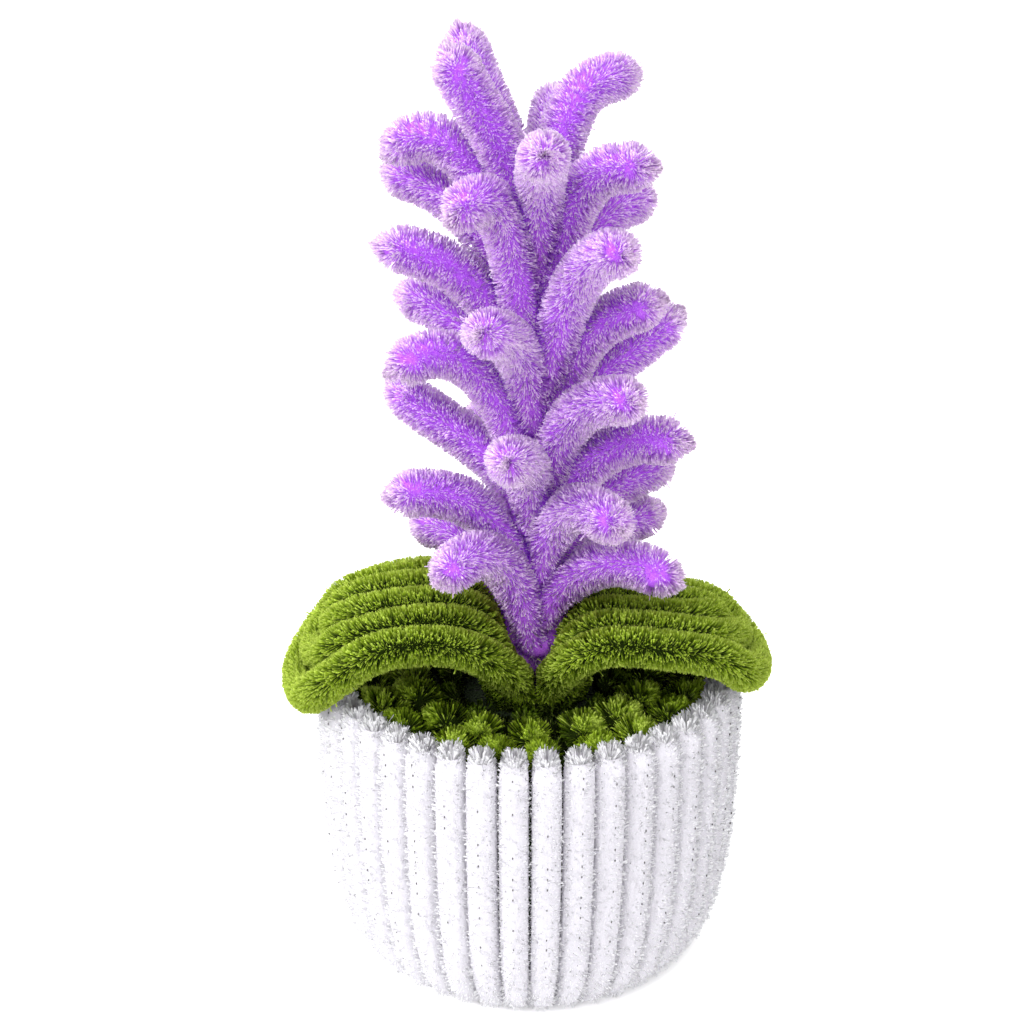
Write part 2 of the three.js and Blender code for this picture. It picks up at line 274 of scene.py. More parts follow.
def fold_line(root, first, second):
    """Half of the fold that joins two arms, from the first arm to halfway round."""
    turn = (second - first + 180) % 360 - 180
    steps = np.linspace(0, turn / 2, 8)
    return np.array([polar(FLORET_ROOT, first + step, root - FOLD_SAG * min(1, abs(step) / 15))
                     for step in steps]) + [FLOWER_X, 0, 0]


floret_strands = []
for number, (first, second) in enumerate(FLORET_STEMS):
    root = LOWEST_FOLD + FOLD_PITCH * number
    pair = []
    for arm, other in ((first, second), (second, first)):
        halfway = fold_line(root, arm[0], other[0])[::-1]
        line = np.vstack([halfway[:-1], arm_line(root, *arm)])
        pair.append(strand(line, FLORET_PILE, end_free=True, fullness=0.6))
    floret_strands.append(pair)
print("flower:", sum(len(p) for p in floret_strands), "arms")

# %% [markdown]
# The leaves are nested loops of stem. A loop rises from the moss, goes out along one side of
# the leaf, turns at the tip and comes back along the other side. The blade's middle line is
# a smooth curve, and each loop keeps its own distance from it.

# %% Leaf lines
LEAF_PILE = 3.3
# Near its foot each loop's pile is trimmed short, which also colours it with darker painted shade.
LEAF_TRIM = [0.5, 0.9] + [1.0] * 14
LEAF_FOOT = 43
LEAF_FOOT_TOP = 47.2
LEAF_FOOT_RADIUS = 6.2
LEAF_SPREAD = 0.28
LEAF_FRONT_FALL = 0.002
LEAF_FRONT = [(0, 0.89), (0.18, 0.97), (0.42, 1), (0.7, 1.07), (0.89, 0.83)]
LEAF_BACK = [(0, 0.84), (0.18, 0.98), (0.42, 1), (0.7, 0.93), (0.89, 0.81)]
LEAF_LOOPS = [("outer", 16, 1.0, 72), ("middle", 9.25, 0.89, 42), ("inner", 3.05, 0.77, 13)]
LEAF_SIDES = [
    ("left", -1, 0, 0.0175, [(6.2, 0, LEAF_FOOT), (6.8, 0.7, 49.5), (8.2, -0.7, 59.9),
                             (26.6, -2.7, 60.4), (30.1, 0.2, 55.5), (36, 4.5, 46.1)]),
    ("right", 1, -0.127, 0.0139, [(6.2, 0, LEAF_FOOT), (6.8, 0.7, 49.5), (8.2, -0.7, 57.9),
                                  (24.3, -2.4, 59.2), (29.2, 0.3, 56.8), (34.9, 1.6, 49.6)]),
]


def leaf_place(facing, roll, back_fall, middle_line, out, across):
    """A place on the arched blade, by how far out and how far across it is."""
    x, y, z = at_share(middle_line, out)
    fall = (LEAF_FRONT_FALL if across < 0 else back_fall) * across ** 2
    return np.array([facing * x, y + across, z + roll * across - fall])


def leaf_half(blade, sign, half_width, length, foot_angle):
    """One side of a loop, from its foot in the moss to the leaf's tip."""
    points = []
    for z in (LEAF_FOOT, LEAF_FOOT_TOP):
        foot = polar(LEAF_FOOT_RADIUS, foot_angle * sign, z)
        points.append(np.array([blade[0] * foot[0] + FLOWER_X, foot[1], z]))
    for share, width in LEAF_FRONT if sign < 0 else LEAF_BACK:
        out = LEAF_SPREAD + (length - LEAF_SPREAD) * share
        points.append(leaf_place(*blade, out, sign * width * half_width))
    return points


leaf_strands = {}
for side, facing, roll, back_fall, middle in LEAF_SIDES:
    blade = (facing, roll, back_fall, smooth_line(middle))
    for loop, half_width, length, foot_angle in LEAF_LOOPS:
        front = leaf_half(blade, -1, half_width, length, foot_angle)
        behind = leaf_half(blade, 1, half_width, length, foot_angle)
        tip = leaf_place(*blade, length, 0)
        whole = smooth_line([*front, tip, *reversed(behind)])
        half = len(whole) // 2
        leaf_strands[side, loop] = [strand(part, LEAF_PILE, trim=LEAF_TRIM)
                                    for part in (whole[:half + 1], whole[:half - 1:-1])]
print("leaves:", len(leaf_strands), "loops")

# %% [markdown]
# The moss is stem laid round in rings on the filling. It was pushed up and snipped all along,
# so from above it is a row of round tufts that open like fans, which makes it read as moss.
# Between the tufts the pile is rubbed short, and its colour there is painted shade.

# %% Moss lines
MOSS_PILE = 4.7
MOSS_BED = 42.65
MOSS_WIRE = 43.8
MOSS_TUFT_FOOT = 44.3
# The last column is the trim of the tufts. The inner ring lies in the shade of the leaves, and its
# shorter trim also gives it darker painted shade.
MOSS_RINGS = [
    ("outer", 24.8, 21, 46.7, 1.0),
    ("middle", 18.4, 16, 46.3, 1.0),
    ("inner", 12.35, 11, 45.2, 0.7),
]
TUFT_LEAN = 0.9
TUFT_SHIFT, TUFT_RISE, TUFT_SWAY = 0.16, 0.5, 2.0
SNIPPED = (0.86, 1.04)
UNDERNEATH = (0, 0, -1)

moss_strands = {}
chooser = np.random.default_rng(7)
for ring, radius, tufts, top, trim in MOSS_RINGS:
    turn = np.linspace(0, 360, 181)
    laid = np.array([polar(radius, angle, MOSS_WIRE) for angle in turn])
    parts = [strand(laid, MOSS_PILE, hidden=UNDERNEATH, fullness=0.5, trim=0.45)]
    for number in range(tufts):
        angle = (number + chooser.uniform(-TUFT_SHIFT, TUFT_SHIFT)) * 360 / tufts
        height = top + chooser.uniform(-TUFT_RISE, TUFT_RISE)
        sway = chooser.uniform(-TUFT_SWAY, TUFT_SWAY)
        foot = polar(radius - TUFT_LEAN, angle, MOSS_TUFT_FOOT)
        tip = polar(radius + TUFT_LEAN, angle + sway, height)
        left = trim * chooser.uniform(*SNIPPED)
        parts.append(strand([foot, tip], MOSS_PILE, end_free=True, trim=left))
    moss_strands[ring] = parts
print("moss:", len(moss_strands), "rings,", sum(len(p) - 1 for p in moss_strands.values()), "tufts")

# %% [markdown]
# The pot is a palisade. Twenty white stems are bent double, stood side by side, and turned in
# under the base. Both cut ends of each stem stick up at the rim, where the pile opens.

# %% Pot lines
RIB_COUNT = 40
RIB_PILE = 3.75
FOLD_RADIUS = 19.9
FOLD_HEIGHT = 2.0
RIB_TIP = 47.2
TUFT_PILE = 4.0
RIB_LINE = [(30.7, RIB_TIP), (30.7, 46.2), (30.7, 38), (30.4, 28), (29.6, 18.5), (28.1, 10.8),
            (25.8, 5.8), (22.9, 3.1), (FOLD_RADIUS, FOLD_HEIGHT)]
BASE_HEIGHT = 2.1
BASE_PILE = 2.4
BASE_INNER, BASE_OUTER = 1.6, 14.2
BASE_COVERED = (0, 0, 1)
OPEN_RIM = 41
FOLD_FACES = 26.0


def rib_line(angle, inward):
    """One rib from the fold under the base up to the cut end at the rim."""
    down = [polar(radius, angle, z) for radius, z in RIB_LINE]
    middle = angle + inward * 180 / RIB_COUNT
    bend = FOLD_RADIUS * math.sin(math.pi / RIB_COUNT)
    turned = polar(FOLD_RADIUS - bend, middle, FOLD_HEIGHT)
    return smooth_line([*down, turned])[::-1]


def inside_pot(point):
    """The side of a rib that faces the filling, down to none at the rim, which is open."""
    x, y, z = point
    if z > OPEN_RIM:
        return (0.0, 0.0, 0.0)
    return tuple(Vector((-x, -y, max(0.0, FOLD_FACES - z))).normalized())


rib_pile = [RIB_PILE] * 18 + [TUFT_PILE]
rib_strands = []
for pair in range(RIB_COUNT // 2):
    centre = pair * 720 / RIB_COUNT - 90
    rib_strands.append([
        strand(rib_line(centre + side * 180 / RIB_COUNT, -side), rib_pile, end_free=True,
               hidden=inside_pot)
        for side in (-1, 1)])

turns = (BASE_OUTER - BASE_INNER) / (2 * BASE_PILE)
sweep = np.linspace(0, turns * 360, 400)
spiral = np.array([polar(BASE_INNER + (BASE_OUTER - BASE_INNER) * a / sweep[-1], a, BASE_HEIGHT)
                   for a in sweep])
base_strands = [strand(spiral, BASE_PILE, hidden=BASE_COVERED)]
print("pot:", len(rib_strands), "stems and a coil of", round(turns, 1), "turns")

# %% [markdown]
# Where stems are pressed together, the pile can't go through its neighbour. It stops at the
# plane halfway between the two wires. To find that plane, every tree below looks up the
# nearest wire in one cloud of points that holds all the wires of the object.

# %% The cloud of all wires
cloud_mesh = bpy.data.meshes.new("wire_cloud")
cloud_mesh.from_pydata(np.vstack([s["line"] for s in strands]) * MM, [], [])
cloud_ids = np.concatenate([np.full(len(s["line"]), s["id"], np.int32) for s in strands])
cloud_mesh.attributes.new("strand", "INT", "POINT").data.foreach_set("value", cloud_ids)
wire_cloud = bpy.data.objects.new("wire_cloud", cloud_mesh)
bpy.context.scene.collection.objects.link(wire_cloud)
print("wire cloud:", len(cloud_ids), "points")

# %% [markdown]
# One fibre is too small to model, so the smallest thing here is a lock: a flat sliver that
# stands for a few fibres that cling together. A lock is a single triangle that is narrow
# at the wire and wide at the cut, because the fibres spread apart on their way out.

# %% The locks of pile
def lock_mesh(name, outline):
    """A flat sliver from root to cut. Each point is its width share and its height share."""
    mesh = bpy.data.meshes.new(name)
    points = [(x, 0.0, z) for x, z in outline]
    mesh.from_pydata(points, [], [tuple(range(len(points)))], shade_flat=False)
    for key, values in zip(("side", "height"), zip(*outline)):
        mesh.attributes.new(key, "FLOAT", "POINT").data.foreach_set("value", values)
    return bpy.data.objects.new(name, mesh)


lock_collection = bpy.data.collections.new("pile_locks")
for lock in (
    lock_mesh("lock_a_fan", [(0.0, 0.0), (0.5, 1.0), (-0.5, 0.96)]),
    lock_mesh("lock_b_fan", [(0.0, 0.05), (0.42, 0.93), (-0.5, 1.0)]),
    lock_mesh("lock_c_spike", [(-0.25, 0.0), (0.25, 0.0), (0.1, 1.04)]),
):
    lock_collection.objects.link(lock)

# %% [markdown]
# One node tree grows the pile of every stem: purple, green and white differ only in the sizes
# given to it. First come a small helper that adds a node, then the tree with its named inputs,
# and then the facts that it reads from the wires and from the locks.

# %% Node helper
MATH, VECTOR_MATH = "ShaderNodeMath", "ShaderNodeVectorMath"
STORE = "GeometryNodeStoreNamedAttribute"


def place(tree, kind, inputs=None, **settings):
    """Adds one node, sets it up, and feeds its inputs from values, sockets or other nodes."""
    node = tree.nodes.new(kind)
    for key, value in settings.items():
        setattr(node, key, value)
    for key, value in (inputs or {}).items():
        source = value.outputs[0] if isinstance(value, bpy.types.Node) else value
        if isinstance(source, bpy.types.NodeSocket):
            tree.links.new(source, node.inputs[key])
        else:
            node.inputs[key].default_value = source
    return node


# %% The pile tree and its inputs
PILE_SIZES = [
    ("Lock spacing", 0.01 * MM),
    ("Twist pitch", 2.6 * MM),
    ("Spread", math.radians(75)),
    ("Lean", math.radians(8)),
    ("Lean jitter", math.radians(10)),
    ("End length", 1.5 * MM),
    ("End splay", math.radians(82)),
    ("Lock width", 0.24 * MM),
    ("Uneven length", 0.06),
    ("Body share", 0.62),
    ("Body step", 0.5 * MM),
    ("Body sides", 12.0),
    ("Floor height", -1.0),
    ("End paleness", 1.3),
    ("Wire glimpse", 0.0),
]
PILE_PARTS = [("Seed", "Int"), ("Wires", "Object"), ("Locks", "Collection"), ("Pile", "Material"),
              ("Body", "Material")]

PILE_TREE = bpy.data.node_groups.new("chenille_pile", "GeometryNodeTree")
sockets = PILE_TREE.interface
sockets.new_socket("Geometry", in_out="INPUT", socket_type="NodeSocketGeometry")
for name, value in PILE_SIZES:
    sockets.new_socket(name, in_out="INPUT", socket_type="NodeSocketFloat").default_value = value
for name, kind in PILE_PARTS:
    sockets.new_socket(name, in_out="INPUT", socket_type="NodeSocket" + kind)
sockets.new_socket("Geometry", in_out="OUTPUT", socket_type="NodeSocketGeometry")
add = partial(place, PILE_TREE)
given = add("NodeGroupInput").outputs
print("pile tree inputs:", len(given) - 1)

# %% Facts that the tree reads
FACTS = {
    "FLOAT": "along end pile trim fullness height side inner reach tone depth",
    "FLOAT_VECTOR": "hidden heading centre way",
    "INT": "strand extra",
}
fact = {name: add("GeometryNodeInputNamedAttribute", {"Name": name}, data_type=kind)
        for kind, names in FACTS.items() for name in names.split()}
print("facts:", len(fact))
spot = add("GeometryNodeInputPosition")

# %% [markdown]
# Nothing about a fibre is quite even, so each property gets its own draw of chance. A draw is
# a Random Value node with a seed of its own. The seeds depend only on the order of this list.
# Chains of arithmetic are written as a short loop over what is done and with what.

# %% Draws of chance
SEED_STEP = 101
DRAWS = [
    ("turn", -0.5, 0.5), ("more turn", -0.5, 0.5), ("wobble", -1.0, 1.0), ("uneven", -1.0, 0.35),
    ("stray", 0.0, 1.0), ("stray length", 0.1, 0.35), ("slack", 0.0, 0.1), ("crowding", 0.0, 1.0),
    ("tone", 0.0, 1.0), ("x", -1.0, 1.0), ("y", -1.0, 1.0), ("z", -1.0, 1.0),
    ("width", 0.6, 1.3), ("skin", 0.79, 0.85), ("speck", 0.0, 1.0),
]
draw = {}
for number, (name, low, high) in enumerate(DRAWS, 1):
    seed = add(MATH, {0: given["Seed"], 1: number * SEED_STEP}, operation="ADD")
    chance = add("FunctionNodeRandomValue", {2: low, 3: high, "Seed": seed}, data_type="FLOAT")
    draw[name] = chance.outputs[1]
print("draws of chance:", len(draw))

# %% [markdown]
# The tree walks along the wires and plants a lock every few thousandths of a millimetre. Two
# twisted wires throw the fibres out in a double spiral, so the direction turns steadily with
# the distance along, every second lock stands opposite, and chance blurs the two rows.

# %% Points along the wires, and the way out from them
wires = add("GeometryNodeMeshToCurve", {"Mesh": given["Geometry"]})
spacing = given["Lock spacing"]
walk = add("GeometryNodeCurveToPoints", {"Curve": wires, "Length": spacing}, mode="LENGTH")
points, tangent, normal = (walk.outputs[key] for key in ("Points", "Tangent", "Normal"))

second = add(MATH, {0: add("GeometryNodeInputIndex"), 1: 2.0}, operation="MODULO")
opposite = add(MATH, {0: second, 1: math.pi}, operation="MULTIPLY")
blur = add(MATH, {0: draw["turn"], 1: draw["more turn"]}, operation="ADD")
blur = add(MATH, {0: blur, 1: given["Spread"]}, operation="MULTIPLY")
angle = fact["along"]
for how, other in (("MULTIPLY", 2 * math.pi), ("DIVIDE", given["Twist pitch"]),
                   ("ADD", opposite), ("ADD", blur)):
    angle = add(MATH, {0: angle, 1: other}, operation=how)
radial = add("ShaderNodeVectorRotate", {"Vector": normal, "Axis": tangent, "Angle": angle},
             rotation_type="AXIS_ANGLE")
print("the way out:", len(PILE_TREE.nodes), "nodes")

# %% [markdown]
# Pile leans a little towards the free end, as it was combed when the stem was twisted. Near a
# cut end it leans over more and more, until the last fibres close the end like a brush.

# %% The way a fibre points
near_end = add("ShaderNodeMapRange",
               {"Value": fact["end"], "From Min": given["End length"], "From Max": 0.0},
               interpolation_type="SMOOTHSTEP", clamp=True)
splay = add(MATH, {0: near_end, 1: given["End splay"]}, operation="MULTIPLY")
leaning = add(MATH, {0: given["Lean"], 1: splay}, operation="ADD")


def heading_of(away, along, wobble):
    """The direction of a fibre, from the way out, the way along, and a wobble."""
    lean = add(MATH, {0: leaning, 1: wobble}, operation="ADD")
    level = add(MATH, {0: lean}, operation="COSINE")
    forward = add(MATH, {0: lean}, operation="SINE")
    sideways = add(VECTOR_MATH, {0: away, "Scale": level}, operation="SCALE")
    forwards = add(VECTOR_MATH, {0: along, "Scale": forward}, operation="SCALE")
    total = add(VECTOR_MATH, {0: sideways, 1: forwards}, operation="ADD")
    return add(VECTOR_MATH, {0: total}, operation="NORMALIZE")


wobble = add(MATH, {0: draw["wobble"], 1: given["Lean jitter"]}, operation="MULTIPLY")
heading = heading_of(radial, tangent, wobble)
print("the heading:", len(PILE_TREE.nodes), "nodes")

# %% [markdown]
# Stems come from the machine cut evenly. A cut end is more ragged, and about one fibre in 250
# was missed by the blade and stands out. That last touch makes the outline look soft.

# %% The full length of a fibre
SPARED_BY_THE_BLADE = 0.996
RAGGED_END = 2.5
ragged = add(MATH, {0: near_end, 1: RAGGED_END}, operation="MULTIPLY")
ragged = add(MATH, {0: ragged, 1: 1.0}, operation="ADD")
spared = add(MATH, {0: draw["stray"], 1: SPARED_BY_THE_BLADE}, operation="GREATER_THAN")
spared = add(MATH, {0: spared, 1: draw["stray length"]}, operation="MULTIPLY")
uneven = draw["uneven"]
for how, other in (("MULTIPLY", given["Uneven length"]), ("MULTIPLY", ragged),
                   ("ADD", spared), ("ADD", 1.0)):
    uneven = add(MATH, {0: uneven, 1: other}, operation=how)
trimmed = add(MATH, {0: fact["pile"], 1: fact["trim"]}, operation="MULTIPLY")
full = add(MATH, {0: trimmed, 1: uneven}, operation="MULTIPLY")
print("the full length:", len(PILE_TREE.nodes), "nodes")

# %% [markdown]
# Pile can't grow through a neighbour. The tree looks up the wire nearest to the fibre's tip.
# If it is another stem's wire, the fibre stops at the plane halfway between the two wires.
# A fibre also stops at the floor, which is the table for the pot and the filling for the moss.

# %% The room that a fibre has
SHORTEST_SHARE = 0.18
LEAST_DROP = 1e-6
cloud = add("GeometryNodeObjectInfo", {"Object": given["Wires"]}).outputs["Geometry"]


def room_for(root, reach, slack):
    """The share of a fibre's reach that its neighbours and the floor leave free."""
    tip = add(VECTOR_MATH, {0: root, 1: reach}, operation="ADD")
    nearest = add("GeometryNodeSampleNearest", {"Geometry": cloud, "Sample Position": tip})
    neighbour = add("GeometryNodeSampleIndex", {"Geometry": cloud, "Value": spot, "Index": nearest},
                    data_type="FLOAT_VECTOR")
    owner = add("GeometryNodeSampleIndex",
                {"Geometry": cloud, "Value": fact["strand"], "Index": nearest}, data_type="INT")
    apart = add(VECTOR_MATH, {0: neighbour, 1: root}, operation="SUBTRACT")
    square, facing = (
        add(VECTOR_MATH, {0: apart, 1: other}, operation="DOT_PRODUCT").outputs["Value"]
        for other in (apart, reach))
    doubled = add(MATH, {0: facing, 1: 2.0}, operation="MULTIPLY")
    halfway = add(MATH, {0: square, 1: doubled}, operation="DIVIDE")
    halfway = add(MATH, {0: halfway, 1: slack}, operation="ADD")
    halfway = add("ShaderNodeClamp", {"Value": halfway, "Min": SHORTEST_SHARE, "Max": 1.0})
    stranger = add("FunctionNodeCompare", {2: owner, 3: fact["strand"]}, data_type="INT",
                   operation="NOT_EQUAL")
    share = add("GeometryNodeSwitch", {"Switch": stranger, "False": 1.0, "True": halfway},
                input_type="FLOAT")
    root_height = add("ShaderNodeSeparateXYZ", {0: root}).outputs["Z"]
    rise = add("ShaderNodeSeparateXYZ", {0: reach}).outputs["Z"]
    above = add(MATH, {0: root_height, 1: given["Floor height"]}, operation="SUBTRACT")
    drop = add(MATH, {0: rise, 1: -1.0}, operation="MULTIPLY")
    drop = add(MATH, {0: drop, 1: LEAST_DROP}, operation="MAXIMUM")
    landing = add(MATH, {0: above, 1: drop}, operation="DIVIDE")
    return add(MATH, {0: share, 1: landing}, operation="MINIMUM")


wanted = add(VECTOR_MATH, {0: heading, "Scale": full}, operation="SCALE")
share = room_for(spot, wanted, draw["slack"])
length = add(MATH, {0: full, 1: share}, operation="MULTIPLY")
print("the free length:", len(PILE_TREE.nodes), "nodes")

# %% [markdown]
# Only the outer part of a lock can be seen, because the fibres below are packed into a solid
# mass. So a lock starts just inside that mass. At a cut end the view is straight into the
# pile, and there a lock starts at the wire. What nobody can see isn't planted at all.

# %% Where a lock starts, and which ones are left out
SUNK_IN = 0.12
NEAREST_TO_WIRE = 0.06
OUT_OF_SIGHT = 0.3
packed = add(MATH, {0: share, 1: given["Body share"]}, operation="MAXIMUM")
packed = add(MATH, {0: given["Body share"], 1: packed}, operation="DIVIDE")
closed = add(MATH, {0: 1.0, 1: near_end}, operation="SUBTRACT")
inner = packed
for how, other in (("MULTIPLY", closed), ("SUBTRACT", SUNK_IN), ("MAXIMUM", NEAREST_TO_WIRE)):
    inner = add(MATH, {0: inner, 1: other}, operation=how)
begins = add(MATH, {0: inner, 1: length}, operation="MULTIPLY")

unseen = add(VECTOR_MATH, {0: heading, 1: fact["hidden"]}, operation="DOT_PRODUCT")
unseen = add(MATH, {0: unseen.outputs["Value"], 1: OUT_OF_SIGHT}, operation="SUBTRACT")
thinned = add(MATH, {0: draw["crowding"], 1: fact["fullness"]}, operation="SUBTRACT")
dropped = add(MATH, {0: unseen, 1: thinned}, operation="MAXIMUM")
kept = add("FunctionNodeCompare", {0: dropped, 1: 0.0}, data_type="FLOAT", operation="LESS_EQUAL")

# %% Plant the locks
reached = add(MATH, {0: length, 1: fact["pile"]}, operation="DIVIDE")
planting = points
for name, value, kind in (("heading", heading, "FLOAT_VECTOR"), ("reach", reached, "FLOAT"),
                          ("inner", inner, "FLOAT"), ("tone", draw["tone"], "FLOAT")):
    planting = add(STORE, {"Geometry": planting, "Name": name, "Value": value},
                   data_type=kind, domain="POINT")
start = add(VECTOR_MATH, {0: heading, "Scale": begins}, operation="SCALE")
planting = add("GeometryNodeSetPosition", {"Geometry": planting, "Offset": start})
aside = add("ShaderNodeCombineXYZ", {"X": draw["x"], "Y": draw["y"], "Z": draw["z"]})
turned = add("FunctionNodeAxesToRotation", {"Primary Axis": heading, "Secondary Axis": aside},
             primary_axis="Z", secondary_axis="X")
wide = add(MATH, {0: given["Lock width"], 1: draw["width"]}, operation="MULTIPLY")
visible = add(MATH, {0: length, 1: begins}, operation="SUBTRACT")
size = add("ShaderNodeCombineXYZ", {"X": wide, "Y": wide, "Z": visible})
choices = add("GeometryNodeCollectionInfo",
              {"Collection": given["Locks"], "Separate Children": True, "Reset Children": True})
planted = add("GeometryNodeInstanceOnPoints",
              {"Points": planting, "Selection": kept, "Instance": choices, "Pick Instance": True,
               "Rotation": turned, "Scale": size})
loose = add("GeometryNodeRealizeInstances", {"Geometry": planted})
print("the planting:", len(PILE_TREE.nodes), "nodes")

# %% [markdown]
# The material needs to know how deep in the pile a point lies, 0 at the wire and 1 at the cut: a
# painted shade value.
# Every lock also gets its own column in a texture map.
# Its normal points along the fibre, so the light falls on the pile as on one soft surface.

# %% What the locks carry
MAP_WIDTH, MAP_LEFT = 0.94, 0.03
MAP_HEIGHT, MAP_BOTTOM = 0.9, 0.02
MAP_LOCK_WIDTH = 0.02
outer = add(MATH, {0: 1.0, 1: fact["inner"]}, operation="SUBTRACT")
outer = add(MATH, {0: fact["height"], 1: outer}, operation="MULTIPLY")
# Painted light: near a cut end the colour is pushed towards its palest, as if the open end were lit.
painted_end_light = add(MATH, {0: near_end, 1: given["End paleness"]}, operation="MULTIPLY")
painted_end_light = add(MATH, {0: painted_end_light, 1: 1.0}, operation="ADD")
# Painted shade: the value shrinks where a neighbour cuts a fibre short, so creases between stems are
# coloured darker.
depth = fact["inner"]
for how, other in (("ADD", outer), ("MULTIPLY", fact["reach"]), ("MULTIPLY", painted_end_light),
                   ("MINIMUM", 1.0)):
    depth = add(MATH, {0: depth, 1: other}, operation=how)
column = fact["side"]
for how, other in (("MULTIPLY", MAP_LOCK_WIDTH), ("ADD", fact["tone"]), ("MULTIPLY", MAP_WIDTH),
                   ("ADD", MAP_LEFT)):
    column = add(MATH, {0: column, 1: other}, operation=how)
row = add(MATH, {0: depth, 1: MAP_HEIGHT}, operation="MULTIPLY")
row = add(MATH, {0: row, 1: MAP_BOTTOM}, operation="ADD")
locks = add(STORE, {"Geometry": loose, "Name": "depth", "Value": depth},
            data_type="FLOAT", domain="POINT")


def dressed(geometry, map_place, direction, material):
    """Gives geometry its place in the texture map, its normals and its material."""
    mapped = add(STORE, {"Geometry": geometry, "Name": "OFBake", "Value": map_place},
                 data_type="FLOAT2", domain="CORNER")
    soft = add("GeometryNodeSetMeshNormal", {"Mesh": mapped, "Custom Normal": direction},
               mode="FREE", domain="POINT")
    return add("GeometryNodeSetMaterial", {"Geometry": soft, "Material": material})


spread_out = add("ShaderNodeCombineXYZ", {"X": column, "Y": row})
locks = dressed(locks, spread_out, fact["heading"], given["Pile"])
print("the locks:", len(PILE_TREE.nodes), "nodes")

# %% [markdown]
# The packed mass of fibres inside is a tube round each wire. Each of its points is pushed out
# in the way that a fibre would grow there, to where single fibres begin or a neighbour presses.
# At a cut end the last ring closes on the wire, which leaves a small dimple coloured with painted
# shade.

# %% The packed body
MAP_BODY_ROW = 0.97
BODY_START = 0.1 * MM
PAST_THE_CUT = 0.02 * MM
DIMPLE = 0.04
single = add("GeometryNodeDeleteGeometry", {"Geometry": wires, "Selection": fact["extra"]})
step = given["Body step"]
body = add("GeometryNodeResampleCurve", {"Curve": single, "Length": step}, mode="LENGTH")
for name, value in (("centre", spot), ("way", add("GeometryNodeInputTangent"))):
    body = add(STORE, {"Geometry": body, "Name": name, "Value": value},
               data_type="FLOAT_VECTOR", domain="POINT")
section = add("GeometryNodeCurvePrimitiveCircle",
              {"Resolution": given["Body sides"], "Radius": BODY_START}, mode="RADIUS")
body = add("GeometryNodeCurveToMesh", {"Curve": body, "Profile Curve": section, "Fill Caps": True})
around = add(VECTOR_MATH, {0: spot, 1: fact["centre"]}, operation="SUBTRACT")
around = add(VECTOR_MATH, {0: around}, operation="NORMALIZE")
outwards = heading_of(around, fact["way"], 0.0)
wanted = add(VECTOR_MATH, {0: outwards, "Scale": trimmed}, operation="SCALE")
free = room_for(fact["centre"], wanted, 0.0)
past_tip = add(MATH, {0: fact["end"], 1: PAST_THE_CUT}, operation="GREATER_THAN")
swelling = free
for how, other in (("MINIMUM", given["Body share"]), ("MULTIPLY", past_tip), ("MAXIMUM", DIMPLE),
                   ("MULTIPLY", fact["trim"])):
    swelling = add(MATH, {0: swelling, 1: other}, operation=how)
shown = add(MATH, {0: swelling, 1: painted_end_light}, operation="MULTIPLY")
for name, value, kind in (("heading", outwards, "FLOAT_VECTOR"), ("depth", shown, "FLOAT")):
    body = add(STORE, {"Geometry": body, "Name": name, "Value": value},
               data_type=kind, domain="POINT")
pushed = add(MATH, {0: swelling, 1: fact["pile"]}, operation="MULTIPLY")
pushed = add(VECTOR_MATH, {0: outwards, "Scale": pushed}, operation="SCALE")
surface = add(VECTOR_MATH, {0: fact["centre"], 1: pushed}, operation="ADD")
body = add("GeometryNodeSetPosition", {"Geometry": body, "Position": surface})
strip = add("ShaderNodeCombineXYZ", {"X": fact["depth"], "Y": MAP_BODY_ROW})
body = dressed(body, strip, fact["heading"], given["Body"])
print("the body:", len(PILE_TREE.nodes), "nodes")

# %% [markdown]
# On the white ribs the two wires show as dark specks wherever they cross and the pile parts.
# A speck is a tiny oval that stands on the outside of the rib, among the roots of the locks.

# %% Glimpses of wire
LOWEST_GLIMPSE = 9 * MM
HIDDEN_GLIMPSES = 0.45
SPECK_STRETCH = (1.0, 1.0, 2.2)
crossings = add("GeometryNodeCurveToPoints", {"Curve": single, "Length": given["Twist pitch"]},
                mode="LENGTH")
outside = add(VECTOR_MATH, {0: spot, 1: (1.0, 1.0, 0.0)}, operation="MULTIPLY")
outside = add(VECTOR_MATH, {0: outside}, operation="NORMALIZE")
skin = add(MATH, {0: fact["pile"], 1: given["Body share"]}, operation="MULTIPLY")
skin = add(MATH, {0: skin, 1: draw["skin"]}, operation="MULTIPLY")
offset = add(VECTOR_MATH, {0: outside, "Scale": skin}, operation="SCALE")
height = add("ShaderNodeSeparateXYZ", {0: spot}).outputs["Z"]
chosen = add(MATH, {0: height, 1: LOWEST_GLIMPSE}, operation="GREATER_THAN")
for value, least in ((given["Wire glimpse"], 0.0), (draw["speck"], HIDDEN_GLIMPSES)):
    allowed = add(MATH, {0: value, 1: least}, operation="GREATER_THAN")
    chosen = add(MATH, {0: chosen, 1: allowed}, operation="MULTIPLY")
speck = add("GeometryNodeMeshIcoSphere", {"Radius": given["Wire glimpse"], "Subdivisions": 1})
specks = add("GeometryNodeSetPosition", {"Geometry": crossings, "Offset": offset})
specks = add("GeometryNodeInstanceOnPoints",
             {"Points": specks, "Selection": chosen, "Instance": speck, "Scale": SPECK_STRETCH})
specks = add("GeometryNodeRealizeInstances", {"Geometry": specks})
specks = dressed(specks, (0.0, MAP_BODY_ROW, 0.0), outside, given["Body"])

# %% Join the pile
joined = add("GeometryNodeJoinGeometry")
for geometry in (specks, locks, body):
    PILE_TREE.links.new(geometry.outputs[0], joined.inputs[0])
add("NodeGroupOutput", {"Geometry": joined})
print("pile tree:", len(PILE_TREE.nodes), "nodes")

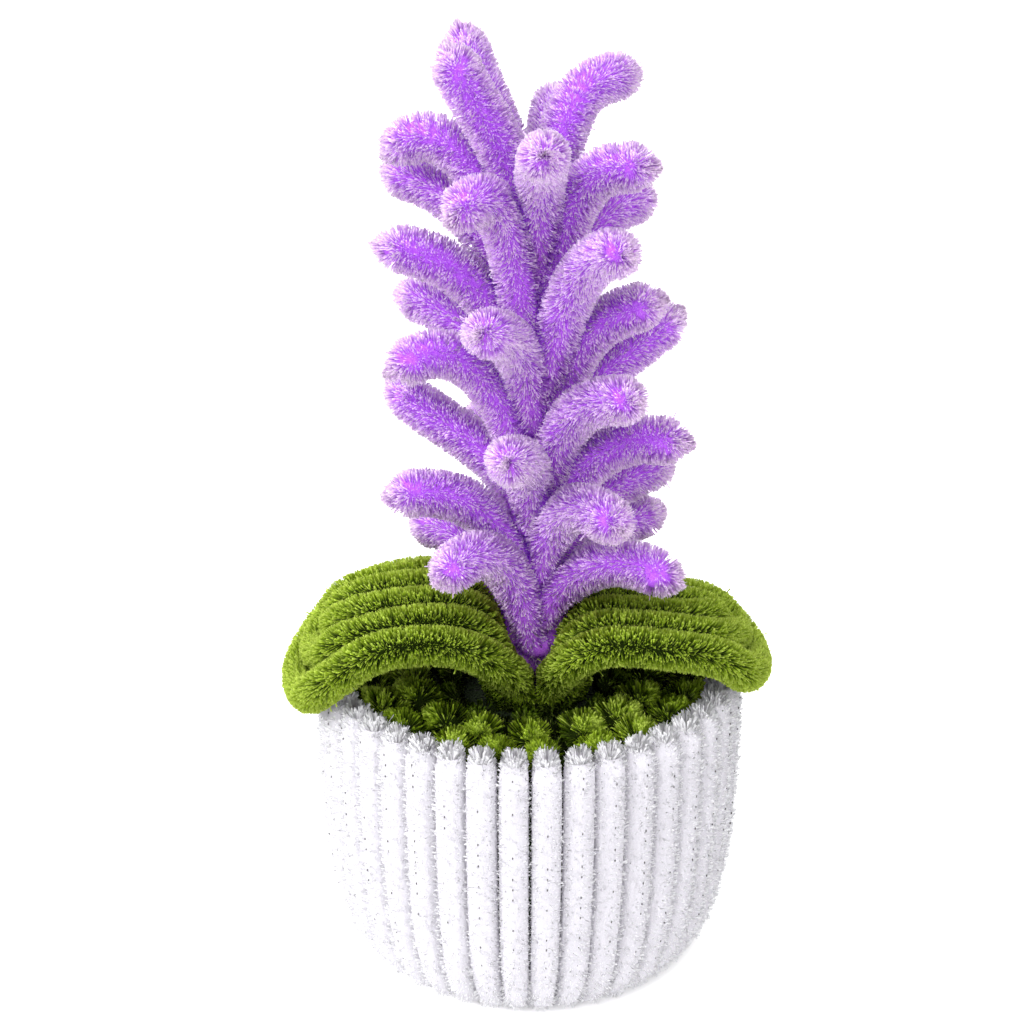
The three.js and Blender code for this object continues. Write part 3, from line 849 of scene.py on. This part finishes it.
# %% [markdown]
# The finish of the pile is dyed polyester fibre, cut by a blade. Its colour is painted shade near
# the wire, where little light gets in, and painted light at the cut, where light passes through
# the ends; the dye's own colour lies between. Half of each lock's light goes through it, so the
# edges glow where light is behind them. Fibre is matt from a step away, so its gloss is low and a
# little uneven.

# %% Colour and shading
PASSES_LIGHT = 0.5
FIBRE_GLOSS = 0.1


def linear(code):
    """An sRGB hex colour as linear red, green, blue and alpha."""
    values = [int(code[i:i + 2], 16) / 255 for i in (1, 3, 5)]
    return (*(v / 12.92 if v <= 0.04045 else ((v + 0.055) / 1.055) ** 2.4 for v in values), 1.0)


def blank_material(name):
    """A new material and its node tree, which starts with a Principled shader."""
    material = bpy.data.materials.new(name)
    material.use_nodes = True
    return material, material.node_tree


def finish_surface(tree, colour, rough, bump):
    """Feeds the Principled shader."""
    shader = tree.nodes["Principled BSDF"]
    for value, key in ((colour, "Base Color"), (rough.outputs[0], "Roughness"),
                       (bump.outputs[0], "Normal")):
        tree.links.new(value, shader.inputs[key])
    return shader


def finish_fibre(tree, colour, rough, bump):
    """Feeds the shader and lets part of the light through, as fibre does."""
    front = finish_surface(tree, colour, rough, bump)
    front.inputs["Specular IOR Level"].default_value = FIBRE_GLOSS
    through = place(tree, "ShaderNodeBsdfTranslucent", {"Color": colour, "Normal": bump})
    both = place(tree, "ShaderNodeMixShader", {0: PASSES_LIGHT, 1: front, 2: through})
    tree.links.new(both.outputs[0], tree.nodes["Material Output"].inputs["Surface"])


print("half grey in linear light:", round(linear("#808080")[0], 3))

# %% Pile material
# A real fibre is about 0.03 mm thick, too fine to show, so the grain is drawn coarser
FIBRE_WIDTH = 0.08


def pile_material(name, stops, light_lock):
    """Dyed pile. stops are position and colour from the wire to the cut: painted shade by the wire,
    painted light at the cut, and the dye between.
    """
    material, tree = blank_material(name)
    depth = place(tree, "ShaderNodeAttribute", attribute_name="depth").outputs["Fac"]
    tone = place(tree, "ShaderNodeAttribute", attribute_name="tone").outputs["Fac"]
    ramp = place(tree, "ShaderNodeValToRGB", {"Fac": depth})
    elements = ramp.color_ramp.elements
    while len(elements) < len(stops):
        elements.new(0.5)
    for element, (position, colour) in zip(elements, stops):
        element.position = position
        element.color = linear(colour)
    pale = place(tree, "ShaderNodeMapRange", {"Value": tone, "From Min": 0.75, "From Max": 1.0,
                                              "To Min": 0.0, "To Max": 0.3}, clamp=True)
    colour = place(tree, "ShaderNodeMix", {0: pale, 6: ramp, 7: linear(light_lock)},
                   data_type="RGBA").outputs[2]
    where = place(tree, "ShaderNodeTexCoord").outputs["Object"]
    fibres = place(tree, "ShaderNodeTexNoise", {"Vector": where, "Scale": 1 / (FIBRE_WIDTH * MM),
                                                "Detail": 1.0}).outputs["Fac"]
    bump = place(tree, "ShaderNodeBump", {"Height": fibres, "Strength": 0.25, "Distance": 0.05 * MM})
    rough = place(tree, "ShaderNodeMapRange", {"Value": fibres, "From Min": 0.3, "From Max": 0.7,
                                               "To Min": 0.55, "To Max": 0.85})
    finish_fibre(tree, colour, rough, bump)
    return material


# %% [markdown]
# Under the locks the fibres are pressed into one soft body. It is the same fibre, so it passes
# as much light. A fine noise stands for small clumps of fibre ends, a quarter of a millimetre
# wide. Where neighbours press the pile flat, the body is thin, and there it is coloured with
# painted shade, the dark wire colour, which the white stems also give their specks of bare wire.

# %% Packed pile material
FIBRE_CLUMP = 0.25


def packed_material(name, wire, deep, pale):
    """The dense inside of the pile, in the colours by the wire, which is painted shade where the body
    is thin, of clumps and between them.
    """
    material, tree = blank_material(name)
    where = place(tree, "ShaderNodeTexCoord").outputs["Object"]
    grain = place(tree, "ShaderNodeTexNoise", {"Vector": where, "Scale": 1 / (FIBRE_CLUMP * MM),
                                               "Detail": 2.0}).outputs["Fac"]
    clumps = place(tree, "ShaderNodeMapRange", {"Value": grain, "From Min": 0.35, "From Max": 0.65},
                   clamp=True)
    dyed = place(tree, "ShaderNodeMix", {0: clumps, 6: linear(deep), 7: linear(pale)},
                 data_type="RGBA").outputs[2]
    depth = place(tree, "ShaderNodeAttribute", attribute_name="depth").outputs["Fac"]
    # Painted shade: where the body is thin, between pressed stems and in a cut end's dimple, it takes
    # the dark wire colour.
    thick = place(tree, "ShaderNodeMapRange", {"Value": depth, "From Min": 0.12, "From Max": 0.62},
                  clamp=True)
    colour = place(tree, "ShaderNodeMix", {0: thick, 6: linear(wire), 7: dyed},
                   data_type="RGBA").outputs[2]
    bump = place(tree, "ShaderNodeBump", {"Height": grain, "Strength": 0.6, "Distance": 0.1 * MM})
    rough = place(tree, "ShaderNodeMapRange", {"Value": grain, "To Min": 0.75, "To Max": 1.0})
    finish_fibre(tree, colour, rough, bump)
    return material


# %% [markdown]
# Three dyes. Each ramp runs from painted shade by the wire to painted light at the cut. The lilac
# is nearly white at the cut and violet by the wire, the moss green is nearly black inside with
# painted shade, and the white stays white and only greys a little with painted shade.

# %% The dyed stems
PURPLE_STOPS = [(0.0, "#4A0E78"), (0.2, "#7A2CB4"), (0.5, "#A850E0"), (0.78, "#E09CFC"),
                (1.0, "#FFF0FF")]
GREEN_STOPS = [(0.0, "#0C1200"), (0.35, "#182402"), (0.6, "#4E680A"), (0.85, "#98B428"),
               (1.0, "#CCE064")]
WHITE_STOPS = [(0.0, "#C8C6CA"), (0.2, "#DEDCE0"), (0.6, "#E6E4E8"), (1.0, "#F4F4F6")]
purple_pile = pile_material("lilac_polyester_pile", PURPLE_STOPS, "#FFE8FF")
green_pile = pile_material("moss_green_polyester_pile", GREEN_STOPS, "#D4E478")
white_pile = pile_material("white_polyester_pile", WHITE_STOPS, "#F8F8FA")
purple_body = packed_material("packed_lilac_pile", "#3C0A64", "#B659E8", "#D17EF7")
# The green body is near black: painted shade for the grooves between leaf runs and under the leaves.
green_body = packed_material("packed_green_pile", "#080C00", "#121C00", "#2A3C04")
white_body = packed_material("packed_white_pile", "#5E5C5C", "#D2D0D6", "#DCDAE0")
print("dyed stems: purple, green, white")

# %% [markdown]
# Now the pieces are grown, one mesh for each stem, so each stands for its own solid. The lock
# spacing is a millimetre shared by the locks on it. The flower, whose pile shows most, has the
# densest, and the pot, whose white hides single fibres, has the sparsest.

# %% Grow a piece
grown = []


def grow(name, parts, node, slot, material, body, seed, **sizes):
    """Grows the pile on some strands and makes it the piece that stands for a node."""
    path = path_object(name + "_wire", parts)
    modifier = path.modifiers.new("pile", "NODES")
    modifier.node_group = PILE_TREE
    by_name = {item.name: item.identifier for item in PILE_TREE.interface.items_tree
               if item.in_out == "INPUT"}
    settings = {"Seed": seed, "Wires": wire_cloud, "Locks": lock_collection, "Pile": material,
                "Body": body}
    settings.update({key.replace("_", " ").capitalize(): value for key, value in sizes.items()})
    for key, value in settings.items():
        modifier[by_name[key]] = value
    path.update_tag()
    graph = bpy.context.evaluated_depsgraph_get()
    mesh = bpy.data.meshes.new_from_object(path.evaluated_get(graph))
    mesh.name = name
    bpy.data.objects.remove(path)
    piece = bpy.data.objects.new(name, mesh)
    bpy.context.scene.collection.objects.link(piece)
    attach(piece, BODY)
    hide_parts(node)
    grown.append(piece)


# %% Flower
for number, pair in enumerate(floret_strands, 1):
    grow(f"floret_pile_{number:02d}", pair, f"floret_stem_{number:02d}", "purple_chenille",
         purple_pile, purple_body, number, lock_spacing=1 / 322 * MM, lock_width=0.21 * MM)
print("flower:", sum(len(p.data.polygons) for p in grown), "faces")

# %% Leaves
before = len(grown)
for number, ((side, loop), parts) in enumerate(leaf_strands.items(), 1):
    grow(f"leaf_pile_{side}_{loop}", parts, f"leaf_{side}_{loop}", "green_chenille",
         green_pile, green_body, 100 + number, lock_spacing=1 / 255 * MM, twist_pitch=1.9 * MM,
         body_step=0.7 * MM, body_share=0.5)
print("leaves:", sum(len(p.data.polygons) for p in grown[before:]), "faces")

# %% Moss
before = len(grown)
for number, (ring, parts) in enumerate(moss_strands.items(), 1):
    grow(f"moss_pile_{ring}", parts, f"moss_ring_{ring}", "green_chenille",
         green_pile, green_body, 200 + number, lock_spacing=1 / 270 * MM, twist_pitch=1.9 * MM,
         body_share=0.5, end_length=2.4 * MM, end_paleness=0.0, floor_height=MOSS_BED * MM)
print("moss:", sum(len(p.data.polygons) for p in grown[before:]), "faces")

# %% Pot
before = len(grown)
for number, parts in enumerate(rib_strands, 1):
    grow(f"rib_pile_{number:02d}", parts, f"pot_rib_pair_{number:02d}", "white_chenille",
         white_pile, white_body, 300 + number, lock_spacing=1 / 110 * MM, twist_pitch=1.9 * MM,
         lean=math.radians(36), end_splay=math.radians(34), end_length=2.4 * MM, lock_width=0.27 * MM,
         body_step=1.0 * MM, body_share=0.84, floor_height=0.05 * MM, wire_glimpse=0.11 * MM)
grow("base_coil_pile", base_strands, "pot_base_coil", "white_chenille", white_pile, white_body, 400,
     lock_spacing=1 / 70 * MM, body_share=0.8, floor_height=0.0)
print("pot:", sum(len(p.data.polygons) for p in grown[before:]), "faces")

bpy.data.objects.remove(wire_cloud)
for lock in list(lock_collection.objects):
    bpy.data.objects.remove(lock)
triangles = sum(len(face.vertices) - 2 for piece in grown for face in piece.data.polygons)
print("all pieces:", triangles, "triangles")

# %% [markdown]
# Two solids are never seen in full: the foam that fills the pot, and the stalk inside the
# flower. They keep their measured shape. The foam is open-cell, so it is pitted all over; its darker
# pits and near-black green are painted shade. The stalk is wrapped in lilac pile, coloured darker
# than the flower's as painted shade.

# %% Foam and stalk
FOAM_CELL = 0.8


def foam_material(name, dark, light):
    """Open-cell craft foam: round pits between thin, paler walls; the darker pits are painted shade.
    """
    material, tree = blank_material(name)
    where = place(tree, "ShaderNodeTexCoord").outputs["Object"]
    cells = place(tree, "ShaderNodeTexVoronoi", {"Vector": where, "Scale": 1 / (FOAM_CELL * MM)},
                  feature="DISTANCE_TO_EDGE").outputs["Distance"]
    walls = place(tree, "ShaderNodeMapRange", {"Value": cells, "From Min": 0.0, "From Max": 0.25,
                                               "To Min": 1.0, "To Max": 0.0})
    # Painted shade: the pits are coloured darker than the walls.
    colour = place(tree, "ShaderNodeMix", {0: walls, 6: linear(dark), 7: linear(light)},
                   data_type="RGBA").outputs[2]
    bump = place(tree, "ShaderNodeBump", {"Height": walls, "Strength": 0.8, "Distance": 0.3 * MM})
    rough = place(tree, "ShaderNodeMapRange", {"Value": walls, "To Min": 1.0, "To Max": 0.8})
    finish_surface(tree, colour, rough, bump)
    return material


# Painted shade: the stalk's lilac is darker than the flower's, for the shade inside the flower.
stalk_wrap = packed_material("wrapped_stalk_pile", "#241030", "#3C1A50", "#4A2462")
# The foam's near-black green is painted shade for the dark hollow under the leaves.
craft_foam = foam_material("dark_green_craft_foam", "#0E1A06", "#2A3E12")
for node, finish in (("foam_plug", craft_foam), ("flower_stalk", stalk_wrap)):
    for holder in frame["nodes"][node].material_slots:
        holder.material = finish
print("finished solids: foam_plug, flower_stalk")

# %% [markdown]
# The studio. The photograph is high-key: a white ground and soft light from all round, which
# is strongest from the left and the front.

# %% Floor and light
def plain_material(name, code, roughness):
    """A matt finish of one colour for things that are not part of the object."""
    material, tree = blank_material(name)
    shader = tree.nodes["Principled BSDF"]
    shader.inputs["Base Color"].default_value = linear(code)
    shader.inputs["Roughness"].default_value = roughness
    return material


FLOOR_SIZE = 6.0
SKY_STRENGTH = 0.12
bpy.ops.mesh.primitive_plane_add(size=FLOOR_SIZE)
floor = bpy.context.object
floor.name = "studio_floor"
floor.data.materials.append(plain_material("studio_paper", "#FDFDFD", 0.9))

world = bpy.data.worlds.new("studio")
bpy.context.scene.world = world
world.use_nodes = True
sky = world.node_tree.nodes["Background"].inputs
sky["Color"].default_value = (1, 1, 1, 1)
sky["Strength"].default_value = SKY_STRENGTH


def studio_lamp(name, compass, height, power, spread):
    """A far, wide lamp. compass is 0 behind the camera and grows to the right, in degrees."""
    data = bpy.data.lights.new(name, "SUN")
    data.energy = power
    data.angle = math.radians(spread)
    lamp = bpy.data.objects.new(name, data)
    bpy.context.scene.collection.objects.link(lamp)
    around, up = math.radians(compass), math.radians(height)
    away = Vector((math.sin(around) * math.cos(up), -math.cos(around) * math.cos(up), math.sin(up)))
    lamp.location = away * 2
    lamp.rotation_euler = away.to_track_quat("Z", "Y").to_euler()


STUDIO_LAMPS = [
    ("key", -76, 32, 4.1, 40),
    ("front", -12, 36, 3.1, 45),
    ("front_fill", 32, 27, 1.9, 60),
    ("right_side", 70, 30, 0.3, 60),
    ("top", -20, 80, 2.0, 60),
    ("back_left", -150, 32, 1.5, 60),
    ("back_right", 150, 32, 1.2, 60),
]
for name, compass, height, power, spread in STUDIO_LAMPS:
    studio_lamp(name + "_lamp", compass, height, power, spread)
bpy.context.scene.view_settings.view_transform = "Standard"
